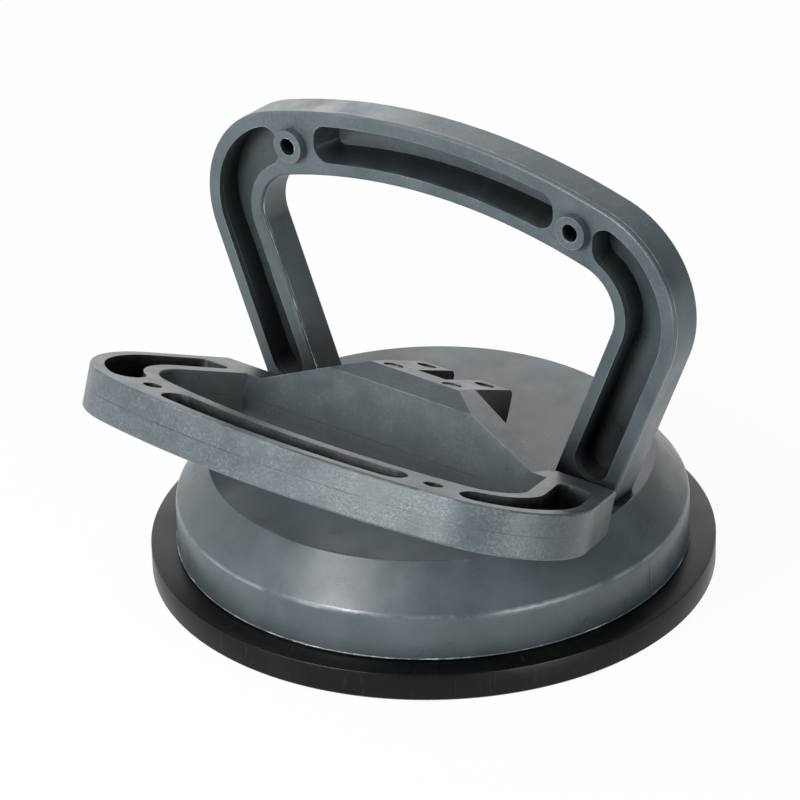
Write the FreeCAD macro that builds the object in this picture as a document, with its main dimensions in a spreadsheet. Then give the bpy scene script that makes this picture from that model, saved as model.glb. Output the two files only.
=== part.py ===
import FreeCAD, Part
import math
import os
import re

import Sketcher
from FreeCAD import Placement, Rotation, Vector

# Hand suction lifter: a rubber pad under a moulded dish with a fixed arched handle. A second
# arched handle is the lever. Its two cam lugs turn on a steel pin and, as it is closed against
# the fixed handle, they draw the pad's centre up through a steel post.
# Millimetres, +Z up, origin at the centre of the pad's underside, handles along X. The lever is
# modelled open, at its stop.

DRIVING_SIZES = [
    # rubber pad
    ("padRadius", 59.0, "pad, outer radius"),
    ("padRim", 6.0, "pad, height of the rim that shows"),
    ("padEdge", 0.7, "pad, chamfer on its outer edges"),
    ("seatStep", 0.4, "pad, step up to the seat under the dish"),
    ("seatReach", 6.3, "pad, width of that seat under the dish"),
    ("webHeight", 5.0, "pad, height of the thin web inside the dish"),
    ("sealWidth", 12.0, "pad, width of the flat sealing ring underneath"),
    ("cupRecess", 1.2, "pad, depth of the recess inside the sealing ring"),
    ("coverRadius", 28.0, "pad, radius of the raised centre over the insert"),
    ("coverHeight", 11.0, "pad, height of that raised centre"),
    # steel insert, post and pin
    ("discRadius", 24.0, "insert disc, radius"),
    ("discThick", 1.5, "insert disc, thickness"),
    ("discLevel", 5.0, "insert disc, height of its underside"),
    ("hubRadius", 7.5, "insert hub, radius"),
    ("bondGap", 0.05, "gap between rubber and insert"),
    ("postRadius", 3.4, "post, radius of the shank"),
    ("threadGap", 0.05, "gap between shank and hub thread"),
    ("slideGap", 0.1, "gap between shank and dish sleeve"),
    ("eyeRadius", 5.5, "post eye, outer radius"),
    ("eyeWidth", 7.0, "post eye, width between the lugs"),
    ("pinRadius", 3.0, "pin, radius"),
    ("pinFit", 0.02, "radial gap of the pin in the eye"),
    ("pinPlay", 0.06, "radial gap of the pin in the lugs"),
    ("clipThick", 0.8, "retaining clip, thickness"),
    ("clipRadius", 5.2, "retaining clip, outer radius"),
    ("clipGap", 0.2, "gap between clip and lug"),
    ("clipPlay", 0.1, "play of the clip in its groove"),
    ("clipMouth", 3.6, "retaining clip, width of its mouth"),
    ("grooveDepth", 0.6, "clip groove in the pin, depth"),
    ("pinTail", 0.9, "pin, length beyond each clip"),
    # dish
    ("rimInset", 5.5, "dish, rim inside the pad's outer radius"),
    ("bandDraft", 0.05, "dish, draw of the band from the rim to its top"),
    ("bandTop", 15.6, "dish, height of the top of the band"),
    ("coneRun", 7.0, "dish, run of the cone from the band to the flat top"),
    ("dishTop", 24.7, "dish, height of the flat top"),
    ("dishWall", 3.0, "dish, wall thickness"),
    ("creaseRound", 2.4, "dish, rounding where band meets cone"),
    ("topRound", 0.5, "dish, rounding at the flat top's edge"),
    ("sleeveWall", 3.0, "dish, wall of the sleeve that guides the post"),
    ("sleeveBottom", 16.2, "dish, height of the sleeve's lower end"),
    ("ribBottom", 17.5, "dish, height of the ribs' lower edge"),
    ("ribThick", 2.0, "dish, rib thickness"),
    ("ribCount", 8, "dish, number of ribs"),
    # handle outline, shared by both handles
    ("archTop", 95.5, "handles, height of the arch"),
    ("archRadius", 152.0, "handles, radius of the arch's top"),
    ("archCorner", 22.4, "handles, radius of the outer corners"),
    ("legLean", 21.6, "handles, lean of the legs in degrees"),
    ("legInset", 15.2, "handles, legs at the dish top inside the pad's outer radius"),
    ("gripBar", 13.8, "handles, height of the bar over the finger opening"),
    ("gripRadius", 135.0, "finger opening, radius of its top"),
    ("gripCorner", 9.5, "finger opening, radius of its corners"),
    ("legWidth", 15.1, "handles, width of a leg at the dish top"),
    ("edgeRound", 0.5, "handles, rounding of the long edges"),
    # fixed handle
    ("handleFront", 1.6, "fixed handle, front face behind the middle"),
    ("handleDepth", 8.3, "fixed handle, front to back"),
    ("handleRoot", 1.5, "fixed handle, depth of its feet in the dish"),
    ("pocketDepth", 6.1, "fixed handle, depth of the pockets"),
    ("outerWall", 3.0, "fixed handle, wall outside the pockets"),
    ("innerWall", 2.8, "fixed handle, wall inside the pockets"),
    ("slotInset", 13.6, "middle pockets, ends inside the leg line at the dish top"),
    ("slotRound", 3.5, "middle pockets, end rounding"),
    ("jawInset", 4.2, "corner pockets, starts inside the leg line at the dish top"),
    ("jawFoot", 31.4, "corner pockets, height of the lower round's centre"),
    ("bossInset", 8.2, "bosses and holes, inside the leg line at the dish top"),
    ("bossDrop", 11.5, "bosses and holes, below the top of the arch"),
    ("bossRadius", 3.5, "bosses, radius"),
    ("bossHeight", 2.0, "bosses, height above the front face"),
    ("bossBore", 1.9, "bosses, radius of the hole"),
    ("bossDepth", 5.0, "bosses, depth of the hole"),
    # lever
    ("pivotLevel", 31.75, "lever, height of the pin with the lever open"),
    ("lift", 4.0, "lever, rise of the pin as it is closed"),
    ("closingAngle", 69.5, "lever, closing turn in degrees"),
    ("camGap", 0.05, "lever, gap between cam and dish"),
    ("closedGap", 0.1, "lever, gap to the boss tips when closed"),
    ("leverDepth", 9.4, "lever, thickness of the grip"),
    ("legEnd", 5.4, "lever, leg ends above the pin when closed"),
    ("stopGap", 0.35, "lever, gap between the leg ends and the dish when open"),
    ("leverPocket", 7.2, "lever, depth of the pockets"),
    ("leverOuterWall", 2.9, "lever, wall outside the pockets"),
    ("leverInnerWall", 3.4, "lever, wall inside the pockets"),
    ("leverJawInset", 2.8, "lever, corner pockets, starts inside the leg line at the dish top"),
    ("leverJawFoot", 13.2, "lever, corner pockets, lower end above the pin"),
    ("jawRound", 2.0, "lever, corner pockets, rounding of the lower end"),
    ("leverBore", 2.0, "lever, radius of the holes over the bosses"),
    ("gablePeak", 10.1, "lever, height of the gable wall over the grip face"),
    ("gableHalf", 11.3, "lever, half width of the gable's flat top"),
    ("gableInset", 8.9, "lever, gable's foot inside the leg line at the dish top"),
    ("gableFront", 13.2, "lever, gable's upright front face above the pin"),
    ("gableUpright", 7.1, "lever, height of that upright face over the grip face"),
    ("gableSetback", 4.2, "lever, gable's top front edge behind the upright face"),
    ("gableRear", 6.9, "lever, gable's rear face at the grip face"),
    ("rearRake", 18.5, "lever, rake of the gable's rear face in degrees"),
    ("lugGap", 7.4, "lever, gap between the lugs"),
    ("lugDrop", 0.8, "lever, fall of the lug tops to the rear"),
    ("lugRound", 1.5, "lever, rounding of the lugs' rear corners"),
    ("markRadius", 2.1, "lever, ejector marks on the lugs, radius"),
    ("markDepth", 0.3, "lever, ejector marks, depth"),
]

# Sizes that follow from the ones above.
FOLLOWING_SIZES = {
    "dishRim": "padRadius - rimInset",
    "dishBand": "dishRim - bandDraft",
    "dishFlat": "dishBand - coneRun",
    "seatInner": "dishRim - seatReach",
    "legHalf": "padRadius - legInset",
    "gripHalf": "legHalf - legWidth",
    "slotHalf": "legHalf - slotInset",
    "jawStart": "legHalf - jawInset",
    "leverJawStart": "legHalf - leverJawInset",
    "bossReach": "legHalf - bossInset",
    "bossLevel": "archTop - bossDrop",
    "gripTop": "archTop - gripBar",
    "gableFoot": "legHalf - gableInset",
}

CAM_STEPS = 8

# Two lengths closer than this are the same when edges are picked.
SAME = 0.001

doc = FreeCAD.newDocument("SuctionLifter")
sheet = doc.addObject("Spreadsheet::Sheet", "Sizes")
for row, (alias, amount, meaning) in enumerate(DRIVING_SIZES, 1):
    sheet.set("A%d" % row, meaning)
    sheet.set("B%d" % row, str(amount))
    sheet.setAlias("B%d" % row, alias)
doc.recompute()
ALIASES = {alias for alias, _, _ in DRIVING_SIZES}


def bound(text):
    """An expression on named sizes, written on the sheet's cells for the document's objects."""
    def named(word):
        name = word.group()
        if name in FOLLOWING_SIZES:
            return "(" + bound(FOLLOWING_SIZES[name]) + ")"
        return "Sizes." + name if name in ALIASES else name
    return re.sub(r"[A-Za-z]\w*", named, text)


def size(name):
    """The value of one named size."""
    return float(sheet.evalExpression(bound(name)))


def newBody(label):
    body = doc.addObject("PartDesign::Body", label)
    body.Label = label
    return body


def newSketch(body, name, role, offset="0"):
    """A sketch on one of the body's own planes, moved along the plane's normal by an expression."""
    sketch = body.newObject("Sketcher::SketchObject", name)
    plane = next(item for item in body.Origin.OriginFeatures if item.Role == role)
    sketch.AttachmentSupport = (plane, [""])
    sketch.MapMode = "FlatFace"
    if offset != "0":
        sketch.setExpression("AttachmentOffset.Base.z", bound(offset))
    doc.recompute()
    return sketch


def addPolygon(sketch, corners):
    """A closed outline of straight edges whose corners are bound to expressions on the sheet."""
    places = []
    for corner in corners:
        places.append([float(sketch.evalExpression(bound(text))) for text in corner])
    first = sketch.GeometryCount
    count = len(places)
    for index in range(count):
        start = Vector(*places[index], 0)
        end = Vector(*places[(index + 1) % count], 0)
        sketch.addGeometry(Part.LineSegment(start, end), False)
    for index in range(count):
        edge = first + index
        nextEdge = first + (index + 1) % count
        sketch.addConstraint(Sketcher.Constraint("Coincident", edge, 2, nextEdge, 1))
    for index, ((across, along), place) in enumerate(zip(corners, places)):
        edge = first + index
        bindPoint(sketch, "DistanceX", edge, 1, across, place[0])
        bindPoint(sketch, "DistanceY", edge, 1, along, place[1])


def bindPoint(sketch, kind, edge, end, text, value):
    """One coordinate of a sketch point, measured from the origin and bound to the sheet."""
    number = sketch.addConstraint(Sketcher.Constraint(kind, -1, 1, edge, end, value))
    sketch.setExpression("Constraints[%d]" % number, bound(text))


def addCircle(sketch, across, along, radius):
    """A circle whose centre and radius are bound to expressions on the sheet."""
    place = [float(sketch.evalExpression(bound(text))) for text in (across, along, radius)]
    edge = sketch.addGeometry(Part.Circle(Vector(place[0], place[1], 0), Vector(0, 0, 1), place[2]), False)
    number = sketch.addConstraint(Sketcher.Constraint("Radius", edge, place[2]))
    sketch.setExpression("Constraints[%d]" % number, bound(radius))
    bindPoint(sketch, "DistanceX", edge, 3, across, place[0])
    bindPoint(sketch, "DistanceY", edge, 3, along, place[1])


def revolve(body, name, sketch, axis="V_Axis"):
    feature = body.newObject("PartDesign::Revolution", name)
    feature.Profile = sketch
    feature.ReferenceAxis = (sketch, [axis])
    feature.Angle = 360
    doc.recompute()
    return feature


def pad(body, name, sketch, length, reverse=False, midplane=False):
    feature = body.newObject("PartDesign::Pad", name)
    feature.Profile = sketch
    feature.setExpression("Length", bound(length))
    feature.Reversed = reverse
    feature.Midplane = midplane
    doc.recompute()
    return feature


def pocket(body, name, sketch, length=None, reverse=False):
    """A pocket of the given depth, or right through both ways when no depth is given."""
    before = body.Shape.Volume
    feature = body.newObject("PartDesign::Pocket", name)
    feature.Profile = sketch
    feature.Reversed = reverse
    if length is None:
        feature.Type = "ThroughAll"
        feature.Midplane = True
    else:
        feature.setExpression("Length", bound(length))
    doc.recompute()
    if feature.Shape.Volume > before - SAME:
        raise RuntimeError(name + " cuts nothing")
    return feature


def fillet(body, name, base, edges, radius):
    feature = body.newObject("PartDesign::Fillet", name)
    feature.Base = (base, edges)
    feature.setExpression("Radius", bound(radius))
    doc.recompute()
    return feature


def ringEdges(shape, level, radius):
    """Names of the circular edges about the Z axis at one height and radius."""
    found = []
    for number, edge in enumerate(shape.Edges, 1):
        curve = edge.Curve
        if not isinstance(curve, Part.Circle):
            continue
        if abs(curve.Radius - radius) < SAME and abs(curve.Center.z - level) < SAME:
            found.append("Edge%d" % number)
    return found


def levelEdges(shape, depth, lowest):
    """Names of the edges that lie wholly in the plane at one depth in Y and above one height."""
    found = []
    for number, edge in enumerate(shape.Edges, 1):
        box = edge.BoundBox
        if abs(box.YMin - depth) < SAME and abs(box.YMax - depth) < SAME and box.ZMax > lowest:
            found.append("Edge%d" % number)
    return found


class Bow:
    """Half of an arched outline in X and Z: a top arc, a corner arc and a straight leaning leg."""

    def __init__(self, top, archRadius, cornerRadius, lean, footHalf, footLevel):
        self.values = (top, archRadius, cornerRadius, lean, footHalf, footLevel)
        turn = math.radians(lean)
        self.top = Vector(0, top, 0)
        self.archRadius = archRadius
        self.cornerRadius = cornerRadius
        self.along = Vector(math.sin(turn), math.cos(turn), 0)
        self.outward = Vector(math.cos(turn), -math.sin(turn), 0)
        self.foot = Vector(footHalf, footLevel, 0)
        self.archCentre = Vector(0, top - archRadius, 0)
        start = self.foot - self.outward * cornerRadius
        offset = start - self.archCentre
        reach = offset.dot(self.along)
        gap = offset.dot(offset) - (archRadius - cornerRadius) ** 2
        self.cornerCentre = start + self.along * (math.sqrt(reach * reach - gap) - reach)
        toCorner = (self.cornerCentre - self.archCentre).normalize()
        self.archJoin = self.archCentre + toCorner * archRadius
        self.legJoin = self.cornerCentre + self.outward * cornerRadius

    def grown(self, amount):
        """The same outline moved outward by an amount, or inward by a negative one."""
        top, archRadius, cornerRadius, lean, footHalf, footLevel = self.values
        spread = amount / math.cos(math.radians(lean))
        radii = (archRadius + amount, cornerRadius + amount)
        return Bow(top + amount, *radii, lean, footHalf + spread, footLevel)

    def legAt(self, level):
        """The point of the leg line at one height."""
        return self.foot + self.along * ((level - self.foot.y) / self.along.y)

    def touchingArch(self, radius, across, inside):
        """Centre and touching point of a circle at one X that touches the top arc."""
        reach = self.archRadius - radius if inside else self.archRadius + radius
        centre = Vector(across, self.archCentre.y + math.sqrt(reach ** 2 - across ** 2), 0)
        return centre, self.archCentre + (centre - self.archCentre).normalize() * self.archRadius

    def touchingCorner(self, radius, across, inside):
        """Centre and touching point of a circle at one X that touches the corner arc."""
        reach = self.cornerRadius - radius if inside else self.cornerRadius + radius
        side = across - self.cornerCentre.x
        centre = Vector(across, self.cornerCentre.y + math.sqrt(reach ** 2 - side ** 2), 0)
        return centre, self.cornerCentre + (centre - self.cornerCentre).normalize() * self.cornerRadius


def line(start, end):
    return Part.LineSegment(start, end)


def arcAbout(centre, start, end):
    """The shorter arc about a centre from one point to another."""
    middle = ((start - centre).normalize() + (end - centre).normalize()).normalize()
    return Part.Arc(start, centre + middle * (start - centre).Length, end)


def middle(curve):
    return curve.value((curve.FirstParameter + curve.LastParameter) / 2)


def reflected(curves):
    """Lines and arcs reflected left to right."""
    result = []
    for curve in curves:
        ends = [Vector(-point.x, point.y, 0) for point in (curve.StartPoint, middle(curve), curve.EndPoint)]
        straight = isinstance(curve, Part.LineSegment)
        result.append(line(ends[0], ends[2]) if straight else Part.Arc(*ends))
    return result


def bandOutline(outer, inner, level):
    """The outline of an arched band between two bows, with both legs cut at one height."""
    half = []
    for bow in (outer, inner):
        half.append(arcAbout(bow.cornerCentre, bow.archJoin, bow.legJoin))
        half.append(line(bow.legJoin, bow.legAt(level)))
    half.append(line(outer.legAt(level), inner.legAt(level)))
    tops = []
    for bow in (outer, inner):
        tops.append(Part.Arc(Vector(-bow.archJoin.x, bow.archJoin.y, 0), bow.top, bow.archJoin))
    return half + tops + reflected(half)


def slotOutline(outer, inner, halfLength, radius):
    """The long middle pocket under the arch, with rounded ends."""
    across = halfLength - radius
    upper, upperJoin = outer.touchingArch(radius, across, True)
    lower, lowerJoin = inner.touchingArch(radius, across, False)
    half = [
        arcAbout(upper, upperJoin, upper + Vector(radius, 0, 0)),
        line(upper + Vector(radius, 0, 0), lower + Vector(radius, 0, 0)),
        arcAbout(lower, lower + Vector(radius, 0, 0), lowerJoin),
    ]
    tops = []
    for bow, join in ((outer, upperJoin), (inner, lowerJoin)):
        tops.append(Part.Arc(Vector(-join.x, join.y, 0), bow.top, join))
    return half + tops + reflected(half)


def jawStartCurves(outer, inner, start, radius):
    """The rounded upper end of a corner pocket and the points where it meets the two bows."""
    across = start + radius
    upper, upperJoin = outer.touchingCorner(radius, across, True)
    lower, lowerJoin = inner.touchingCorner(radius, across, False)
    curves = [
        arcAbout(upper, upperJoin, upper - Vector(radius, 0, 0)),
        line(upper - Vector(radius, 0, 0), lower - Vector(radius, 0, 0)),
        arcAbout(lower, lower - Vector(radius, 0, 0), lowerJoin),
    ]
    return curves, upperJoin, lowerJoin


def jawOutline(outer, inner, start, radius, footLevel):
    """A corner pocket that runs round the bend and down the leg to a full round end."""
    curves, upperJoin, lowerJoin = jawStartCurves(outer, inner, start, radius)
    outerFoot = outer.legAt(footLevel)
    innerFoot = inner.legAt(footLevel)
    width = (outerFoot - innerFoot).dot(outer.outward)
    centre = outerFoot - outer.outward * (width / 2)
    outerEnd = centre + outer.outward * (width / 2)
    innerEnd = centre - outer.outward * (width / 2)
    curves += [
        arcAbout(outer.cornerCentre, upperJoin, outer.legJoin),
        line(outer.legJoin, outerEnd),
        Part.Arc(outerEnd, centre - outer.along * (width / 2), innerEnd),
        line(innerEnd, inner.legJoin),
        arcAbout(inner.cornerCentre, inner.legJoin, lowerJoin),
    ]
    return curves


def squareJawOutline(outer, inner, start, radius, footLevel, footRound):
    """A corner pocket that ends in the leg with a flat end and two rounded corners."""
    curves, upperJoin, lowerJoin = jawStartCurves(outer, inner, start, radius)
    ends = []
    for bow, side in ((outer, -1), (inner, 1)):
        foot = bow.legAt(footLevel + footRound)
        centre = foot + Vector(side * footRound / bow.outward.x, 0, 0)
        join = centre - bow.outward * (side * footRound)
        bottom = centre - Vector(0, footRound, 0)
        curves += [arcAbout(bow.cornerCentre, bow.legJoin, upperJoin if bow is outer else lowerJoin)]
        curves += [line(bow.legJoin, join), arcAbout(centre, join, bottom)]
        ends.append(bottom)
    curves.append(line(*ends))
    return curves


def addCurves(sketch, curves):
    for curve in curves:
        sketch.addGeometry(curve, False)
    doc.recompute()


# Outlines of the fixed handle, in X and Z, and of the closed lever, measured from the pin.
closedPivot = size("pivotLevel") + size("lift")
leverFace = size("handleFront") - size("bossHeight") - size("closedGap")


OUTLINES = [
    ("archTop", "archRadius", "archCorner", "legHalf"),
    ("gripTop", "gripRadius", "gripCorner", "gripHalf"),
]


def outlineBows(level):
    """The outer outline and the finger opening, with heights measured from one level."""
    bows = []
    for top, arch, corner, half in OUTLINES:
        radii = (size(arch), size(corner))
        bows.append(Bow(size(top) - level, *radii, size("legLean"), size(half), size("dishTop") - level))
    return bows


# Rubber pad: flat sealing ring underneath, seat for the dish, raised centre round the insert.
padBody = newBody("rubber_pad")
padSketch = newSketch(padBody, "PadProfile", "XZ_Plane")
addPolygon(padSketch, [
    ("0", "cupRecess"),
    ("padRadius - sealWidth", "cupRecess"),
    ("padRadius - sealWidth + cupRecess", "0"),
    ("padRadius - padEdge", "0"),
    ("padRadius", "padEdge"),
    ("padRadius", "padRim - padEdge"),
    ("padRadius - padEdge", "padRim"),
    ("dishRim + seatStep", "padRim"),
    ("dishRim + seatStep", "padRim + seatStep"),
    ("seatInner", "padRim + seatStep"),
    ("seatInner - seatStep", "webHeight"),
    ("coverRadius + padRim", "webHeight"),
    ("coverRadius", "coverHeight"),
    ("hubRadius + bondGap", "coverHeight"),
    ("hubRadius + bondGap", "discLevel + discThick + bondGap"),
    ("discRadius + bondGap", "discLevel + discThick + bondGap"),
    ("discRadius + bondGap", "discLevel - bondGap"),
    ("0", "discLevel - bondGap"),
])
revolve(padBody, "PadTurn", padSketch)

# Insert disc: steel plate inside the rubber that spreads the pull of the post.
discBody = newBody("insert_disc")
discSketch = newSketch(discBody, "DiscOutline", "XY_Plane", "discLevel")
addCircle(discSketch, "0", "0", "discRadius")
addCircle(discSketch, "0", "0", "postRadius + threadGap")
pad(discBody, "DiscPlate", discSketch, "discThick")

# Insert hub: threaded steel collar welded on the disc.
hubBody = newBody("insert_hub")
hubSketch = newSketch(hubBody, "HubOutline", "XY_Plane", "discLevel + discThick")
addCircle(hubSketch, "0", "0", "hubRadius")
addCircle(hubSketch, "0", "0", "postRadius + threadGap")
pad(hubBody, "HubCollar", hubSketch, "coverHeight - discLevel - discThick")

# Eye post: round shank that slides in the dish, a flat neck and an eye for the pin.
postBody = newBody("eye_post")
shankSketch = newSketch(postBody, "ShankOutline", "XY_Plane", "discLevel")
addCircle(shankSketch, "0", "0", "postRadius")
pad(postBody, "Shank", shankSketch, "pivotLevel - discLevel")
eyeSketch = newSketch(postBody, "EyeOutline", "YZ_Plane")
addCircle(eyeSketch, "0", "pivotLevel", "eyeRadius")
pad(postBody, "Eye", eyeSketch, "eyeWidth", midplane=True)
eyeBoreSketch = newSketch(postBody, "EyeBoreOutline", "YZ_Plane")
addCircle(eyeBoreSketch, "0", "pivotLevel", "pinRadius + pinFit")
pocket(postBody, "EyeBore", eyeBoreSketch)

# Pin: turned steel, with a groove near each end for its clip.
CLIP_SEAT = "gableHalf + clipGap"
GROOVE_END = "gableHalf + clipGap + clipThick + clipPlay"
PIN_END = "gableHalf + clipGap + clipThick + clipPlay + pinTail"
pinBody = newBody("axle_pin")
pinSketch = newSketch(pinBody, "PinProfile", "XZ_Plane")
pinSteps = [
    (PIN_END, "0"),
    (PIN_END, "pinRadius"),
    (GROOVE_END, "pinRadius"),
    (GROOVE_END, "pinRadius - grooveDepth"),
    (CLIP_SEAT, "pinRadius - grooveDepth"),
    (CLIP_SEAT, "pinRadius"),
]
farSteps = [("-(" + across + ")", along) for across, along in reversed(pinSteps)]
addPolygon(pinSketch, pinSteps + farSteps)
revolve(pinBody, "PinTurn", pinSketch, "H_Axis")

# Retaining clips: two spring steel C clips in the pin's grooves.
clipBody = newBody("ClipRight")
clipSketch = newSketch(clipBody, "ClipOutline", "YZ_Plane", CLIP_SEAT + " + clipPlay / 2")
addCircle(clipSketch, "0", "0", "clipRadius")
addCircle(clipSketch, "0", "0", "pinRadius - grooveDepth + clipPlay / 2")
pad(clipBody, "ClipPlate", clipSketch, "clipThick")
mouthSketch = newSketch(clipBody, "ClipMouth", "YZ_Plane")
addPolygon(mouthSketch, [
    ("-clipMouth / 2", "0"),
    ("clipMouth / 2", "0"),
    ("clipMouth / 2", "2 * clipRadius"),
    ("-clipMouth / 2", "2 * clipRadius"),
])
pocket(clipBody, "ClipMouthCut", mouthSketch)
clipLeft = doc.addObject("Part::Mirroring", "ClipLeft")
clipLeft.Source = clipBody
clipLeft.Normal = Vector(1, 0, 0)
clips = doc.addObject("Part::Compound", "axle_clips")
clips.Label = "axle_clips"
clips.Links = [clipBody, clipLeft]

# Body: dish and fixed handle in one moulding, as its one parting line shows.
bodyBody = newBody("body_moulding")
dishSketch = newSketch(bodyBody, "DishProfile", "XZ_Plane")
addPolygon(dishSketch, [
    ("dishRim", "padRim + seatStep"),
    ("dishBand", "bandTop"),
    ("dishFlat", "dishTop"),
    ("postRadius + slideGap", "dishTop"),
    ("postRadius + slideGap", "sleeveBottom"),
    ("postRadius + slideGap + sleeveWall", "sleeveBottom"),
    ("postRadius + slideGap + sleeveWall", "dishTop - dishWall"),
    ("dishFlat - dishWall / 2", "dishTop - dishWall"),
    ("dishBand - dishWall", "bandTop - dishWall / 3"),
    ("dishRim - dishWall", "padRim + seatStep"),
])
dishTurn = revolve(bodyBody, "DishTurn", dishSketch)
creaseEdges = ringEdges(dishTurn.Shape, size("bandTop"), size("dishBand"))
crease = fillet(bodyBody, "DishCrease", dishTurn, creaseEdges, "creaseRound")
rimEdges = ringEdges(crease.Shape, size("dishTop"), size("dishFlat"))
fillet(bodyBody, "DishTopEdge", crease, rimEdges, "topRound")

ribSketch = newSketch(bodyBody, "RibProfile", "XZ_Plane")
addPolygon(ribSketch, [
    ("postRadius + slideGap + sleeveWall / 2", "ribBottom"),
    ("dishBand - dishWall", "ribBottom"),
    ("dishFlat - dishWall / 10", "dishTop - dishWall / 2"),
    ("postRadius + slideGap + sleeveWall / 2", "dishTop - dishWall / 2"),
])
rib = pad(bodyBody, "Rib", ribSketch, "ribThick", midplane=True)
ribRing = bodyBody.newObject("PartDesign::PolarPattern", "RibRing")
ribRing.Originals = [rib]
ribRing.Axis = (ribSketch, ["V_Axis"])
ribRing.Angle = 360
ribRing.setExpression("Occurrences", bound("ribCount"))
bodyBody.Tip = ribRing
doc.recompute()

outer, inner = outlineBows(0)
handleSketch = newSketch(bodyBody, "HandleOutline", "XZ_Plane", "-handleFront")
addCurves(handleSketch, bandOutline(outer, inner, size("dishTop") - size("handleRoot")))
handle = pad(bodyBody, "Handle", handleSketch, "handleDepth", reverse=True)
roundLevel = size("dishTop") + size("dishWall")
longEdges = levelEdges(handle.Shape, size("handleFront"), roundLevel)
longEdges += levelEdges(handle.Shape, size("handleFront") + size("handleDepth"), roundLevel)
fillet(bodyBody, "HandleEdges", handle, longEdges, "edgeRound")

slotSketch = newSketch(bodyBody, "HandlePockets", "XZ_Plane", "-handleFront")
outerWall = outer.grown(-size("outerWall"))
innerWall = inner.grown(size("innerWall"))
addCurves(slotSketch, slotOutline(outerWall, innerWall, size("slotHalf"), size("slotRound")))
jaw = jawOutline(outerWall, innerWall, size("jawStart"), size("slotRound"), size("jawFoot"))
addCurves(slotSketch, jaw)
addCurves(slotSketch, reflected(jaw))
pocket(bodyBody, "HandlePocketCut", slotSketch, "pocketDepth")

bossSketch = newSketch(bodyBody, "Bosses", "XZ_Plane", "-handleFront")
boreSketch = newSketch(bodyBody, "BossBores", "XZ_Plane", "bossHeight - handleFront")
for side in ("", "-"):
    addCircle(bossSketch, side + "bossReach", "bossLevel", "bossRadius")
    addCircle(boreSketch, side + "bossReach", "bossLevel", "bossBore")
pad(bodyBody, "BossPads", bossSketch, "bossHeight")
pocket(bodyBody, "BossBoreCut", boreSketch, "bossHeight + bossDepth")

# Lever: modelled as if closed, with the pin at the origin, then turned open.
# X is along the handles, Y the depth behind the pin and Z the height above it.
leverBody = newBody("lever")
FACE = "(handleFront - bossHeight - closedGap)"
PEAK = FACE + " + gablePeak"
BACK = "(" + FACE + " - leverDepth)"
outer, inner = outlineBows(closedPivot)
ringSketch = newSketch(leverBody, "RingOutline", "XZ_Plane", "-" + FACE)
addCurves(ringSketch, bandOutline(outer, inner, size("legEnd")))
ring = pad(leverBody, "Ring", ringSketch, "leverDepth")
longEdges = levelEdges(ring.Shape, leverFace, size("gableFront"))
longEdges += levelEdges(ring.Shape, leverFace - size("leverDepth"), size("gableFront"))
fillet(leverBody, "RingEdges", ring, longEdges, "edgeRound")

# The leg ends are cut level with the dish's flat top when the lever is open.
STOP_LEVEL = "(dishTop + stopGap - pivotLevel)"
STOP_TOP = "(" + STOP_LEVEL + " - " + BACK + " * sin(closingAngle)) / cos(closingAngle)"
STOP_FOOT = "(" + STOP_LEVEL + " - legEnd * cos(closingAngle)) / sin(closingAngle)"
stopSketch = newSketch(leverBody, "LegStops", "YZ_Plane")
addPolygon(stopSketch, [
    (BACK, STOP_TOP),
    (STOP_FOOT, "legEnd"),
    (STOP_FOOT, "legEnd - edgeRound"),
    (BACK + " - edgeRound", "legEnd - edgeRound"),
    (BACK + " - edgeRound", STOP_TOP),
])
pocket(leverBody, "LegStopCut", stopSketch)

wallSketch = newSketch(leverBody, "GableSection", "YZ_Plane")
addPolygon(wallSketch, [
    (PEAK, "gableFront - gableSetback"),
    (FACE + " + gableUpright", "gableFront"),
    (BACK, "gableFront"),
    (BACK, "gableRear + leverDepth * tan(rearRake)"),
    (PEAK, "gableRear - gablePeak * tan(rearRake)"),
])
wallReach = "gripHalf + tan(legLean) * (pivotLevel + lift + gableFront - dishTop) + leverInnerWall"
pad(leverBody, "GableWall", wallSketch, "2 * (" + wallReach + ")", midplane=True)

slopeSketch = newSketch(leverBody, "GableSlopes", "XY_Plane")
for side in ("", "-"):
    addPolygon(slopeSketch, [
        (side + "gableHalf", PEAK),
        (side + "gableFoot", FACE),
        (side + "legHalf * 1.2", FACE),
        (side + "legHalf * 1.2", PEAK + " + gablePeak"),
        (side + "gableHalf", PEAK + " + gablePeak"),
    ])
pocket(leverBody, "GableCut", slopeSketch)

# Lugs with their cams. The support height of the cam grows evenly with the closing turn, so the
# pin rises by the same amount for each degree and one point of the dish carries it all the way.
openTurn = math.radians(90 - size("closingAngle"))
closingTurn = math.radians(size("closingAngle"))
openHeight = size("pivotLevel") - size("dishTop") - size("camGap")
climb = size("lift") / closingTurn


def camPoint(turn):
    """The point of the cam, as depth and height from the pin, that touches after a closing turn."""
    angle = openTurn + turn
    height = openHeight + climb * turn
    depth = -height * math.cos(angle) + climb * math.sin(angle)
    rise = -height * math.sin(angle) - climb * math.cos(angle)
    return Vector(depth, rise, 0)


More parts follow.
